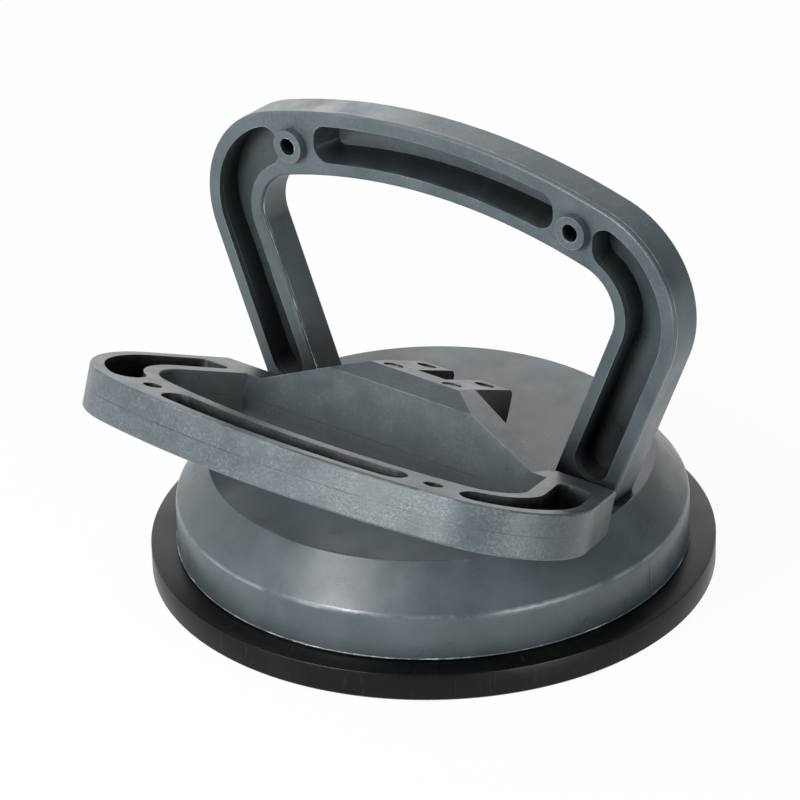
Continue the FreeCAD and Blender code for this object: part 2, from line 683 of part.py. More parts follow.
def lugOutline():
    """Side view of a lug: top, rounded rear, end face, cam, open stop and the root in the gable wall."""
    peak = leverFace + size("gablePeak")
    back = leverFace - size("leverDepth")
    rearTan = math.tan(math.radians(size("rearRake")))
    wallDepth = (size("gableFront") - size("gableRear")) / 2
    rootTop = Vector(peak, size("gableRear") - size("gablePeak") * rearTan + wallDepth / 2, 0)
    rootBottom = Vector(back, size("gableRear") + size("leverDepth") * rearTan + wallDepth, 0)
    points = [camPoint(closingTurn * step / CAM_STEPS) for step in range(CAM_STEPS + 1)]
    first, last = points[0], points[-1]
    stopSlope = math.tan(openTurn)
    stopEnd = Vector(back, first.y + (first.x - back) / stopSlope, 0)
    roundness = size("lugRound")
    rearTop = peak - size("lugDrop")
    cam = Part.BSplineCurve()
    cam.interpolate(points)
    side = Vector(rearTop - roundness, last.y, 0)
    corner = Vector(rearTop - roundness, last.y + roundness, 0)
    lid = Vector(rearTop, last.y + roundness, 0)
    return [
        line(rootTop, lid),
        arcAbout(corner, lid, side),
        line(side, last),
        cam,
        line(first, stopEnd),
        line(stopEnd, rootBottom),
        line(rootBottom, rootTop),
    ]


for side, offset in (("Right", "lugGap / 2"), ("Left", "-gableHalf")):
    lugSketch = newSketch(leverBody, "LugSide" + side, "YZ_Plane", offset)
    addCurves(lugSketch, lugOutline())
    pad(leverBody, "Lug" + side, lugSketch, "gableHalf - lugGap / 2")
pivotSketch = newSketch(leverBody, "PinBoreOutline", "YZ_Plane")
addCircle(pivotSketch, "0", "0", "pinRadius + pinPlay")
pocket(leverBody, "PinBore", pivotSketch)

leverPocketSketch = newSketch(leverBody, "LeverPockets", "XZ_Plane", "-" + FACE)
outerWall = outer.grown(-size("leverOuterWall"))
innerWall = inner.grown(size("leverInnerWall"))
addCurves(leverPocketSketch, slotOutline(outerWall, innerWall, size("slotHalf"), size("slotRound")))
jawRounds = (size("leverJawStart"), size("slotRound"), size("leverJawFoot"), size("jawRound"))
jaw = squareJawOutline(outerWall, innerWall, *jawRounds)
addCurves(leverPocketSketch, jaw)
addCurves(leverPocketSketch, reflected(jaw))
pocket(leverBody, "LeverPocketCut", leverPocketSketch, "leverPocket", reverse=True)

leverBoreSketch = newSketch(leverBody, "LeverBores", "XZ_Plane", "-" + FACE)
for side in ("", "-"):
    addCircle(leverBoreSketch, side + "bossReach", "bossLevel - pivotLevel - lift", "leverBore")
pocket(leverBody, "LeverBoreCut", leverBoreSketch, "leverPocket", reverse=True)

# Shallow round ejector marks on the top of each lug, one over the gable and one at the rear.
MARKS = [
    ("Front", "gableFront - gableSetback - 1.3 * markRadius", PEAK + " - markDepth"),
    ("Rear", "-lugGap / 2 - markRadius", PEAK + " - lugDrop - markDepth"),
]
for end, place, floor in MARKS:
    markSketch = newSketch(leverBody, "LugMarks" + end, "XZ_Plane", "-(" + floor + ")")
    for side in ("", "-"):
        addCircle(markSketch, side + "(gableHalf + lugGap / 2) / 2", place, "markRadius")
    pocket(leverBody, "LugMarkCut" + end, markSketch, "lugDrop + 2 * markDepth")

# Everything on the pin sits at its height; the lever and its clips' pin turn open with it.
pinPlace = Vector(0, 0, size("pivotLevel"))
pinBody.Placement = Placement(pinPlace, Rotation())
clips.Placement = Placement(pinPlace, Rotation())
leverBody.Placement = Placement(pinPlace, Rotation(Vector(1, 0, 0), size("closingAngle")))
doc.recompute()

PARTS = [padBody, discBody, hubBody, postBody, pinBody, clips, bodyBody, leverBody]

for item in doc.Objects:
    if "Invalid" in item.State or "Error" in item.State:
        raise RuntimeError("failed: " + item.Name)
os.makedirs("parts", exist_ok=True)
for item in PARTS:
    shape = item.Shape
    if shape.isNull() or not shape.isValid() or shape.Volume <= 0:
        raise RuntimeError("bad shape: " + item.Label)
    box = shape.BoundBox
    print("%-14s solids %d volume %9.1f  x %.2f..%.2f y %.2f..%.2f z %.2f..%.2f" % (
        item.Label, len(shape.Solids), shape.Volume,
        box.XMin, box.XMax, box.YMin, box.YMax, box.ZMin, box.ZMax))
    shape.exportStep(os.path.join("parts", item.Label + ".step"))
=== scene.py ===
import math
import bpy
from mathutils import Matrix, Vector
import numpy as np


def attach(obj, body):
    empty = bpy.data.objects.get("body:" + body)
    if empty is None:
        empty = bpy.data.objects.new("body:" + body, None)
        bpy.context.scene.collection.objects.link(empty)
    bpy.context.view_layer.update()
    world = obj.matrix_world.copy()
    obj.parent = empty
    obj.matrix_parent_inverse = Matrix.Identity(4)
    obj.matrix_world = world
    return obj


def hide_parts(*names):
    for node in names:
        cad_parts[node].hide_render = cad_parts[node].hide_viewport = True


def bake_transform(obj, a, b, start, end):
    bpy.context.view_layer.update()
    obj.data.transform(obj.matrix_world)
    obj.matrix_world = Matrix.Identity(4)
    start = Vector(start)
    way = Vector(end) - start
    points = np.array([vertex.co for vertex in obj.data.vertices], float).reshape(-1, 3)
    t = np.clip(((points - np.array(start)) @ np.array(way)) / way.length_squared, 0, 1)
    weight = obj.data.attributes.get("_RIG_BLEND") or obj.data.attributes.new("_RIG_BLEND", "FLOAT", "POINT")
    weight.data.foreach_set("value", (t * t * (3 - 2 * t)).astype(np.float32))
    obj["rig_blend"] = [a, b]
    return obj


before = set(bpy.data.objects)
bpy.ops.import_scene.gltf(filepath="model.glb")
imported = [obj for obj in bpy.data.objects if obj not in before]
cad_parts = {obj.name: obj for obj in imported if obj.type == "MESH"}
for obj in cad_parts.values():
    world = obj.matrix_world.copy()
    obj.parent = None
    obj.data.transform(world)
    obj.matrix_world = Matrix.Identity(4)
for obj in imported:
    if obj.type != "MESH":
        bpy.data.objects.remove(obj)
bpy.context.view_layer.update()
mm = 0.001
print("frame loaded,", len(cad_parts), "nodes")


# materials
def linear(text):  # sRGB hex to the linear colour that a socket takes
    parts = [int(text[i:i + 2], 16) / 255 for i in (1, 3, 5)]
    return [p / 12.92 if p <= 0.04045 else ((p + 0.055) / 1.055) ** 2.4 for p in parts] + [1]


def addNode(tree, kind, settings=None, inputs=None, output=0):  # inputs: values, or outputs of other nodes
    node = tree.nodes.new(kind)
    for name, setting in (settings or {}).items():
        setattr(node, name, setting)
    for name, value in (inputs or {}).items():
        if isinstance(value, bpy.types.NodeSocket):
            tree.links.new(value, node.inputs[name])
        else:
            node.inputs[name].default_value = value
    return node.outputs[output]


def newMaterial(name):
    material = bpy.data.materials.new(name)
    material.use_nodes = True
    tree = material.node_tree
    place = addNode(tree, "ShaderNodeTexCoord", output="Object")
    return material, tree, tree.nodes["Principled BSDF"], place


def span(low, high, most=1):  # what a Map Range node needs to give 0 at low and most at high
    return {"From Min": low, "From Max": high, "To Max": most}


def grainValues(place, size, seed, detail=4):  # what a noise node needs for patches about size metres across
    return {"Vector": place, "Scale": 1 / size, "Detail": detail, "Roughness": 0.6, "W": seed}


# settings that many nodes share; a colour Mix node has its factor at 0, its colours at 6 and 7, its result at 2
fourD = {"noise_dimensions": "4D"}
rgba = {"data_type": "RGBA"}
times = {"operation": "MULTIPLY"}
dot = {"operation": "DOT_PRODUCT"}

# Glass filled nylon, injection moulded: satin, dark blue grey, cloudy where the glass comes to the
# skin, with a fine broken grain that sparkles in the light, paler edges that are partly worn and partly
# a painted highlight, and painted shade in inner corners and pockets.
nylonLook = {
    "dark": "#3d464a", "pale": "#4d575b", "cloudSize": 11 * mm, "cloudSpan": span(0.32, 0.68),
    "patchSize": 7 * mm, "smooth": 0.27, "rough": 0.42, "sheenFrom": 0.35, "sheenTo": 0.65,
    "fresh": "#2b3235", "leastRubbed": 0.3,
    "grain": "#6c7477", "grainSize": 0.55 * mm, "grainSpan": span(0.46, 0.72), "speckleFrom": 0.3, "speckleTo": 0.62,
    "fleck": "#2c3234", "fleckSize": 0.42 * mm, "fleckSpan": span(0.8, 0.84, 0.35),
    "lineFrom": 0.38, "lineTo": 0.58, "lineOuter": 1.5, "lineInner": 0.5, "lineStart": 0.1 * mm,
    # pale edge colour: partly wear, partly a painted highlight
    "edge": "#848c90", "edgeWidth": 0.35 * mm, "edgeSpan": span(0.995, 0.93), "wearAndHighlightSpan": span(0.42, 0.66, 0.8),
    # the painted shade colour, and how far and how strongly ambient occlusion paints it into pockets
    "recess": "#0b0e0f", "recessReach": 26 * mm, "recessSpan": span(0.2, 0.8),
    "sparkleSize": 0.32 * mm, "sparkleSpan": span(0.35, 0.62), "sparkleHeight": 0.08 * mm,
}
# where hands rub: the outer bar of the lever and the arch of the handle
leverWorn = {"direction": (0, -1, 0), "from": 28 * mm, "to": 44 * mm, "kept": 0.5, "speckle": 0.85}
bodyWorn = {"direction": (0, 0, 1), "from": 60 * mm, "to": 86 * mm, "kept": 0.12, "speckle": 0.4}
# thin lines where a plane cuts the surface: the lever's mould joint, and on the body a painted highlight along
# the crease of the dish, and the dark line of the handle's mould joint with a painted highlight beside it on its
# ridge; the handle's two lines show only above the dish
leverLines = [{"direction": (0, 0.3502, 0.9367), "level": 24.54 * mm, "width": 0.1 * mm, "strength": 0.85,
               "over": 0, "colour": "#23292b"}]
bodyLines = [
    # painted highlight along the crease of the dish
    {"direction": (0, 0, 1), "level": 15.7 * mm, "width": 0.3 * mm, "strength": 0.5, "over": 0, "colour": "#868e92"},
    {"direction": (0, 1, 0), "level": 2.6 * mm, "width": 0.1 * mm, "strength": 0.8, "over": 26 * mm,
     "colour": "#262c2f"},
    # painted highlight beside the handle's mould joint, where its ridge catches the light
    {"direction": (0, 1, 0), "level": 2.85 * mm, "width": 0.1 * mm, "strength": 0.9, "over": 26 * mm,
     "colour": "#939b9e"},
]


def drawLine(tree, place, patch, colour, line):
    look = nylonLook
    across = addNode(tree, "ShaderNodeVectorMath", dot, {0: place, 1: line["direction"]}, "Value")
    offset = addNode(tree, "ShaderNodeMath", {"operation": "SUBTRACT"}, {0: across, 1: line["level"]})
    distance = addNode(tree, "ShaderNodeMath", {"operation": "ABSOLUTE"}, {0: offset})
    near = span(line["width"] * look["lineOuter"], line["width"] * look["lineInner"])
    onLine = addNode(tree, "ShaderNodeMapRange", None, {"Value": distance, **near})
    height = addNode(tree, "ShaderNodeSeparateXYZ", None, {"Vector": place}, "Z")
    above = addNode(tree, "ShaderNodeMapRange", None,
                    {"Value": height, **span(line["over"] - look["lineStart"], line["over"])})
    shown = addNode(tree, "ShaderNodeMath", times, {0: onLine, 1: above})
    gaps = addNode(tree, "ShaderNodeMapRange", None,
                   {"Value": patch, **span(look["lineFrom"], look["lineTo"], line["strength"])})
    broken = addNode(tree, "ShaderNodeMath", times, {0: shown, 1: gaps})
    return addNode(tree, "ShaderNodeMix", rgba, {0: broken, 6: colour, 7: linear(line["colour"])}, 2)


def mouldedNylon(name, seed, worn, lines, shade=0):
    look = nylonLook
    material, tree, shader, place = newMaterial(name)
    cloud = addNode(tree, "ShaderNodeTexNoise", fourD, grainValues(place, look["cloudSize"], seed), "Fac")
    patch = addNode(tree, "ShaderNodeTexNoise", fourD, grainValues(place, look["patchSize"], seed + 7, 3), "Fac")
    grain = addNode(tree, "ShaderNodeTexNoise", fourD, grainValues(place, look["grainSize"], seed + 3, 3), "Fac")
    fleck = addNode(tree, "ShaderNodeTexNoise", fourD, grainValues(place, look["fleckSize"], seed + 5, 1), "Fac")
    sparkle = addNode(tree, "ShaderNodeTexNoise", fourD, grainValues(place, look["sparkleSize"], seed, 2), "Fac")
    cloudy = addNode(tree, "ShaderNodeMapRange", None, {"Value": cloud, **look["cloudSpan"]})
    colour = addNode(tree, "ShaderNodeMix", rgba, {0: cloudy, 6: linear(look["dark"]), 7: linear(look["pale"])}, 2)
    # skin that no hand has rubbed stays darker and plainer
    reach = addNode(tree, "ShaderNodeVectorMath", dot, {0: place, 1: worn["direction"]}, "Value")
    rubbed = addNode(tree, "ShaderNodeMapRange", None, {"Value": reach, "From Min": worn["from"],
                                                        "From Max": worn["to"], "To Min": look["leastRubbed"]})
    unrubbed = addNode(tree, "ShaderNodeMapRange", None,
                       {"Value": rubbed, **span(1, look["leastRubbed"], worn["kept"])})
    colour = addNode(tree, "ShaderNodeMix", rgba, {0: unrubbed, 6: colour, 7: linear(look["fresh"])}, 2)
    # pale speckle of the glass, in patches and mostly where it is rubbed
    dots = addNode(tree, "ShaderNodeMapRange", None, {"Value": grain, **look["grainSpan"]})
    dotted = addNode(tree, "ShaderNodeMapRange", None,
                     {"Value": patch, **span(look["speckleFrom"], look["speckleTo"], worn["speckle"])})
    speckle = addNode(tree, "ShaderNodeMath", times, {0: dots, 1: dotted})
    speckle = addNode(tree, "ShaderNodeMath", times, {0: speckle, 1: rubbed})
    colour = addNode(tree, "ShaderNodeMix", rgba, {0: speckle, 6: colour, 7: linear(look["grain"])}, 2)
    flecked = addNode(tree, "ShaderNodeMapRange", None, {"Value": fleck, **look["fleckSpan"]})
    colour = addNode(tree, "ShaderNodeMix", rgba, {0: flecked, 6: colour, 7: linear(look["fleck"])}, 2)
    for line in lines:
        colour = drawLine(tree, place, patch, colour, line)
    # pale edges, partly rubbed wear and partly a painted highlight along rims and creases: where the rounded normal
    # turns away from the true one
    surface = addNode(tree, "ShaderNodeNewGeometry", output="Normal")
    rounded = addNode(tree, "ShaderNodeBevel", {"samples": 4}, {"Radius": look["edgeWidth"]}, "Normal")
    bend = addNode(tree, "ShaderNodeVectorMath", dot, {0: surface, 1: rounded}, "Value")
    onEdge = addNode(tree, "ShaderNodeMapRange", None, {"Value": bend, **look["edgeSpan"]})
    wearAndHighlight = addNode(tree, "ShaderNodeMapRange", None, {"Value": patch, **look["wearAndHighlightSpan"]})
    edge = addNode(tree, "ShaderNodeMath", times, {0: onEdge, 1: wearAndHighlight})
    colour = addNode(tree, "ShaderNodeMix", rgba, {0: edge, 6: colour, 7: linear(look["edge"])}, 2)
    # painted shade: ambient occlusion paints deep pockets and inner corners darker
    hollow = addNode(tree, "ShaderNodeAmbientOcclusion", {"samples": 6}, {"Distance": look["recessReach"]}, "AO")
    unhidden = addNode(tree, "ShaderNodeMapRange", None, {"Value": hollow, **look["recessSpan"]})
    colour = addNode(tree, "ShaderNodeMix", rgba, {0: unhidden, 6: linear(look["recess"]), 7: colour}, 2)
    # painted shade over the whole surface, for a shaded copy of the material
    colour = addNode(tree, "ShaderNodeMix", rgba, {0: shade, 6: colour, 7: linear(look["recess"])}, 2)
    tree.links.new(colour, shader.inputs["Base Color"])
    sheen = addNode(tree, "ShaderNodeMapRange", None,
                    {"Value": patch, "From Min": look["sheenFrom"], "From Max": look["sheenTo"],
                     "To Min": look["smooth"], "To Max": look["rough"]})
    tree.links.new(sheen, shader.inputs["Roughness"])
    glinting = addNode(tree, "ShaderNodeMapRange", None, {"Value": patch, **look["sparkleSpan"]})
    glint = addNode(tree, "ShaderNodeMath", times, {0: glinting, 1: rubbed})
    bump = addNode(tree, "ShaderNodeBump", None,
                   {"Height": sparkle, "Strength": glint, "Distance": look["sparkleHeight"]}, "Normal")
    tree.links.new(bump, shader.inputs["Normal"])
    return material


# Flash: the thin feather of nylon that stands up along a mould joint, paler, with bright spots that are partly scuffs
# and partly a painted highlight where it catches the light.
flashLook = {"dull": "#4f585c", "paleScuffAndHighlight": "#b4b9bb", "scuffAndHighlightSize": 4.5 * mm, "seed": 2.2,
             "scuffSpan": span(0.5, 0.7), "sheenSpan": span(1.0, 0.2, 0.6)}


def mouldFlash():
    look = flashLook
    material, tree, shader, place = newMaterial("nylonMouldFlash")
    scuff = addNode(tree, "ShaderNodeTexNoise", fourD, grainValues(place, look["scuffAndHighlightSize"], look["seed"]), "Fac")
    scuffed = addNode(tree, "ShaderNodeMapRange", None, {"Value": scuff, **look["scuffSpan"]})
    # bright spots: partly paler scuffed flash, partly a painted highlight
    colour = addNode(tree, "ShaderNodeMix", rgba,
                     {0: scuffed, 6: linear(look["dull"]), 7: linear(look["paleScuffAndHighlight"])}, 2)
    tree.links.new(colour, shader.inputs["Base Color"])
    sheen = addNode(tree, "ShaderNodeMapRange", None, {"Value": scuff, **look["sheenSpan"]})
    tree.links.new(sheen, shader.inputs["Roughness"])
    return material


# Natural rubber, compression moulded: near black and a little glossy, with a grey bloom and radial scuffs.
rubberLook = {
    "black": "#040404", "bloom": "#141312", "bloomSize": 14 * mm, "bloomSeed": 6.1, "bloomSpan": span(0.45, 0.75, 0.6),
    "scuff": "#2c2a28", "scuffRadius": 59 * mm, "scuffWidth": 0.7 * mm, "scuffLength": 6 * mm,
    "scuffSpan": span(0.62, 0.8, 0.55),
    "sheen": {"From Min": 0.3, "From Max": 0.7, "To Min": 0.26, "To Max": 0.42}, "specular": 0.2,
    "grainSize": 0.5 * mm, "grainSeed": 1.5, "grainStrength": 0.25, "grainHeight": 0.05 * mm,
}


def mouldedRubber():
    look = rubberLook
    material, tree, shader, place = newMaterial("mouldedNaturalRubber")
    bloom = addNode(tree, "ShaderNodeTexNoise", fourD, grainValues(place, look["bloomSize"], look["bloomSeed"]), "Fac")
    bloomed = addNode(tree, "ShaderNodeMapRange", None, {"Value": bloom, **look["bloomSpan"]})
    colour = addNode(tree, "ShaderNodeMix", rgba, {0: bloomed, 6: linear(look["black"]), 7: linear(look["bloom"])}, 2)
    # scuffs are noise in polar places: narrow round the pad, long outward
    split = addNode(tree, "ShaderNodeSeparateXYZ", None, {"Vector": place}).node.outputs
    around = addNode(tree, "ShaderNodeMath", {"operation": "ARCTAN2"}, {0: split["Y"], 1: split["X"]})
    flat = addNode(tree, "ShaderNodeVectorMath", times, {0: place, 1: (1, 1, 0)})
    outward = addNode(tree, "ShaderNodeVectorMath", {"operation": "LENGTH"}, {0: flat}, "Value")
    polar = addNode(tree, "ShaderNodeCombineXYZ", None, {"X": around, "Y": outward, "Z": split["Z"]})
    stretch = (look["scuffRadius"] / look["scuffWidth"], 1 / look["scuffLength"], 1 / look["scuffLength"])
    stretched = addNode(tree, "ShaderNodeVectorMath", times, {0: polar, 1: stretch})
    scuff = addNode(tree, "ShaderNodeTexNoise", None, {"Vector": stretched, "Scale": 1, "Detail": 2}, "Fac")
    scuffed = addNode(tree, "ShaderNodeMapRange", None, {"Value": scuff, **look["scuffSpan"]})
    colour = addNode(tree, "ShaderNodeMix", rgba, {0: scuffed, 6: colour, 7: linear(look["scuff"])}, 2)
    tree.links.new(colour, shader.inputs["Base Color"])
    sheen = addNode(tree, "ShaderNodeMapRange", None, {"Value": bloom, **look["sheen"]})
    tree.links.new(sheen, shader.inputs["Roughness"])
    shader.inputs["Specular IOR Level"].default_value = look["specular"]
    grain = addNode(tree, "ShaderNodeTexNoise", fourD,
                    grainValues(place, look["grainSize"], look["grainSeed"], 3), "Fac")
    bump = addNode(tree, "ShaderNodeBump", None, {"Height": grain, "Strength": look["grainStrength"],
                                                  "Distance": look["grainHeight"]}, "Normal")
    tree.links.new(bump, shader.inputs["Normal"])
    return material


# Steel parts: plated or blackened, with the fine rings or streaks that the tool left. A streak is given by
# its size in millimetres along each axis.
steelLooks = {
    "zincPlatedPost": {"pale": "#b4b8ba", "dark": "#8f9496", "rough": 0.34, "streak": (6, 6, 0.25)},
    "turnedZincPin": {"pale": "#bcc0c2", "dark": "#989da0", "rough": 0.28, "streak": (0.2, 5, 5)},
    "blackenedSpringClip": {"pale": "#34363a", "dark": "#1e2022", "rough": 0.38, "streak": (2, 2, 2)},
    "stampedInsertSteel": {"pale": "#8d9092", "dark": "#6b6e70", "rough": 0.45, "streak": (9, 0.4, 9)},
}
steelMarks = {"span": span(0.35, 0.65), "strength": 0.3, "height": 0.03 * mm}


def streakedSteel(name):
    look = steelLooks[name]
    material, tree, shader, place = newMaterial(name)
    stretched = addNode(tree, "ShaderNodeVectorMath", times, {0: place, 1: [1 / s / mm for s in look["streak"]]})
    lines = addNode(tree, "ShaderNodeTexNoise", None, {"Vector": stretched, "Scale": 1, "Detail": 3}, "Fac")
    streaked = addNode(tree, "ShaderNodeMapRange", None, {"Value": lines, **steelMarks["span"]})
    colour = addNode(tree, "ShaderNodeMix", rgba, {0: streaked, 6: linear(look["dark"]), 7: linear(look["pale"])}, 2)
    tree.links.new(colour, shader.inputs["Base Color"])
    shader.inputs["Metallic"].default_value = 1
    shader.inputs["Roughness"].default_value = look["rough"]
    bump = addNode(tree, "ShaderNodeBump", None, {"Height": lines, "Strength": steelMarks["strength"],
                                                  "Distance": steelMarks["height"]}, "Normal")
    tree.links.new(bump, shader.inputs["Normal"])
    return material


def dress(thing, material):
    if not thing.material_slots:
        thing.data.materials.append(material)
    for holder in thing.material_slots:
        holder.material = material


bodyNylon = mouldedNylon("mouldedNylonBody", 1.3, bodyWorn, bodyLines)
leverNylon = mouldedNylon("mouldedNylonLever", 4.1, leverWorn, leverLines)
# a copy painted darker all over: painted shade for the sloping wall inside the long pocket
shadedPocketNylon = mouldedNylon("mouldedNylonPocketPaintedShade", 2.4, bodyWorn, [], 0.68)
flashNylon = mouldFlash()
rubber = mouldedRubber()
dress(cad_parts["body_moulding"], bodyNylon)
dress(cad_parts["lever"], leverNylon)
dress(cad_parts["eye_post"], streakedSteel("zincPlatedPost"))
dress(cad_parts["axle_pin"], streakedSteel("turnedZincPin"))
dress(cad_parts["axle_clips"], streakedSteel("blackenedSpringClip"))
insertSteel = streakedSteel("stampedInsertSteel")
dress(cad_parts["insert_disc"], insertSteel)
dress(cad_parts["insert_hub"], insertSteel)
dress(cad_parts["rubber_pad"], rubber)
print("materials made")


# modelling helpers
def at(x, y, z):
    return Vector((x, y, z)) * mm


def beginPiece(name):
    piece = bpy.context.object
    piece.name = name
    bpy.ops.object.transform_apply(location=True, rotation=True, scale=True)
    bpy.ops.object.mode_set(mode="EDIT")
    bpy.ops.mesh.select_all(action="SELECT")
    return piece


def tracePoints(name, points):  # one vertex, extruded from point to point
    bpy.ops.object.select_all(action="DESELECT")
    bpy.ops.mesh.primitive_plane_add(size=1 * mm, location=points[0])
    piece = beginPiece(name)
    bpy.ops.mesh.merge(type="CENTER")
    for before, after in zip(points, points[1:]):
        bpy.ops.mesh.extrude_region_move(TRANSFORM_OT_translate={"value": after - before})
    return piece


def sweep(moves):  # carries what is selected along runs and round turns about lines along Y
    for kind, *values in moves:
        if kind == "run":
            bpy.ops.mesh.extrude_region_move(TRANSFORM_OT_translate={"value": values[0]})
        else:
            centre, degrees, steps = values
            bpy.ops.mesh.spin(steps=steps, angle=math.radians(degrees), center=centre, axis=(0, 1, 0))


def endPiece(piece, body, material, smooth=40, merge=0.002 * mm):
    bpy.ops.mesh.select_all(action="SELECT")
    bpy.ops.mesh.remove_doubles(threshold=merge)
    bpy.ops.mesh.normals_make_consistent(inside=False)
    bpy.ops.object.mode_set(mode="OBJECT")
    bpy.ops.object.shade_smooth_by_angle(angle=math.radians(smooth))
    dress(piece, material)
    if body:
        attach(piece, body)
    return piece


def thicken(piece, radius):  # a traced line becomes a bead
    bpy.ops.object.mode_set(mode="OBJECT")
    bpy.ops.object.convert(target="CURVE")
    piece.data.bevel_depth = radius
    piece.data.bevel_resolution = 1
    piece.data.use_fill_caps = True
    bpy.ops.object.convert(target="MESH")
    bpy.ops.object.mode_set(mode="EDIT")


# rubber pad: half of its section, rounded corners and all, traced once and turned round
padSizes = {
    "seal": [(59.0, 5.75), (58.9, 5.93), (58.7, 6.0), (53.45, 6.0), (53.4, 6.05), (53.4, 6.4),
             (47.5, 6.4), (47.1, 5.0)],
    "web": [(43.5, 5.0), (40.5, 5.0), (37.5, 5.0), (34.0, 5.0), (31.0, 8.0), (28.4, 10.6), (27.6, 11.0)],
    "socket": [(7.55, 11.0), (7.55, 6.55), (24.05, 6.55), (24.05, 4.95), (12.0, 4.95), (0, 4.95)],
    "underside": [(0, 1.2), (12, 1.2), (24, 1.2), (28, 1.2), (31, 1.2), (34, 1.2), (37.5, 1.2), (40.5, 1.2),
                  (43.5, 1.2), (46.8, 1.2), (47.2, 1.0), (48.0, 0.2), (48.4, 0.0), (58.6, 0.0), (59.0, 0.4)],
    "turns": 180,
    "still": 46, "lifted": 29,  # radii where the rubber keeps to the dish and to the post
}
sides = padSizes["underside"] + padSizes["seal"] + padSizes["web"] + padSizes["socket"]
pad = tracePoints("rubberPad", [at(r, 0, z) for r, z in sides])
bpy.ops.mesh.select_all(action="SELECT")
bpy.ops.mesh.spin(steps=padSizes["turns"], angle=math.radians(360), center=(0, 0, 0), axis=(0, 0, 1))
endPiece(pad, None, rubber, 32)
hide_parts("rubber_pad")
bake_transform(pad, "base", "stem", start=(padSizes["still"] * mm, 0, 0), end=(padSizes["lifted"] * mm, 0, 0))
# the web bends smoothly between those two radii
riseShare = pad.data.attributes["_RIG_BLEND"].data
for vertex in pad.data.vertices:
    way = (padSizes["still"] * mm - vertex.co.xy.length) / ((padSizes["still"] - padSizes["lifted"]) * mm)
    way = min(max(way, 0), 1)
    riseShare[vertex.index].value = way * way * (3 - 2 * way)
print("rubber pad made")

# faces of the fixed handle that the marks stand on
handleSizes = {"front": 1.6, "pocketFloor": 7.7}

# flash along the mould joint inside the finger opening, from the left foot to the right one
seamSizes = {"top": 81.7, "arch": 135.0, "corner": 9.5, "foot": 28.7, "footLevel": 24.7, "lean": 21.6,
             "cornerSteps": 14, "archSteps": 60, "behind": 0.75, "line": 0.14}


def openingMoves(sizes, depth):
    lean = math.radians(sizes["lean"])
    along = Vector((math.sin(lean), math.cos(lean)))
    outward = Vector((math.cos(lean), -math.sin(lean)))
    foot = Vector((sizes["foot"], sizes["footLevel"]))
    archCentre = Vector((0, sizes["top"] - sizes["arch"]))
    # the corner's centre lies up the leg, where a circle inside the arch meets the leg's offset line
    start = foot - outward * sizes["corner"] - archCentre
    reach = start.dot(along)
    gap = start.length_squared - (sizes["arch"] - sizes["corner"]) ** 2
    travel = math.sqrt(reach * reach - gap) - reach
    corner = archCentre + start + along * travel
    archHalf = math.degrees(math.atan2((corner - archCentre).x, (corner - archCentre).y))
    cornerTurn = 90 + sizes["lean"] - archHalf
    leg = along * travel
    first = at(-foot.x, depth, foot.y)
    moves = [
        ("run", at(-leg.x, 0, leg.y)),
        ("turn", at(-corner.x, depth, corner.y), -cornerTurn, sizes["cornerSteps"]),
        ("turn", at(0, depth, archCentre.y), -2 * archHalf, sizes["archSteps"]),
        ("turn", at(corner.x, depth, corner.y), -cornerTurn, sizes["cornerSteps"]),
        ("run", at(-leg.x, 0, -leg.y)),
    ]
    return first, moves


seamStart, seamMoves = openingMoves(seamSizes, handleSizes["front"] + seamSizes["behind"])
seam = tracePoints("gripSeam", [seamStart])
sweep(seamMoves)
thicken(seam, seamSizes["line"] * mm)
endPiece(seam, "base", flashNylon)

# sloping lower wall of the long pocket, sunk a little into the pocket's floor and wall
slopeSizes = {"end": 30.2, "round": 3.5, "height": 2.0, "from": 1.9, "arch": 137.8, "archLevel": -53.3,
              "startLevel": 88.4, "sunk": 0.05, "roundSteps": 14, "archSteps": 40}
roundPlace = slopeSizes["end"] - slopeSizes["round"]
archReach = slopeSizes["arch"] + slopeSizes["round"]
roundLevel = slopeSizes["archLevel"] + math.sqrt(archReach ** 2 - roundPlace ** 2)
roundLean = math.degrees(math.asin(roundPlace / archReach))
startLevel = slopeSizes["startLevel"]
backEdge = handleSizes["pocketFloor"] + slopeSizes["sunk"]
outerEdge = -slopeSizes["end"] - slopeSizes["sunk"]
slope = tracePoints("pocketSlope", [at(outerEdge, slopeSizes["from"], startLevel), at(outerEdge, backEdge, startLevel),
                                    at(outerEdge + slopeSizes["height"], backEdge, startLevel)])
bpy.ops.mesh.select_all(action="SELECT")
bpy.ops.mesh.edge_face_add()
sweep([
    ("run", at(0, 0, roundLevel - startLevel)),
    ("turn", at(-roundPlace, 0, roundLevel), 90 + roundLean, slopeSizes["roundSteps"]),
    ("turn", at(0, 0, slopeSizes["archLevel"]), -2 * roundLean, slopeSizes["archSteps"]),
    ("turn", at(roundPlace, 0, roundLevel), 90 + roundLean, slopeSizes["roundSteps"]),
    ("run", at(0, 0, startLevel - roundLevel)),
])
# it wears the copy of the nylon with painted shade
endPiece(slope, "base", shadedPocketNylon, 30)

# round marks that the ejector pins left on the floor of the long pocket
markSizes = {"places": [(-14.0, 88.0), (15.8, 88.2)], "radius": 2.3, "line": 0.08}
for number, (x, z) in enumerate(markSizes["places"]):
    bpy.ops.object.select_all(action="DESELECT")
    bpy.ops.mesh.primitive_torus_add(location=at(x, handleSizes["pocketFloor"], z), rotation=(math.pi / 2, 0, 0),
                                     major_segments=48, minor_segments=8,
                                     major_radius=markSizes["radius"] * mm, minor_radius=markSizes["line"] * mm)
    mark = beginPiece("ejectorMark" + "AB"[number])
    endPiece(mark, "base", bodyNylon)

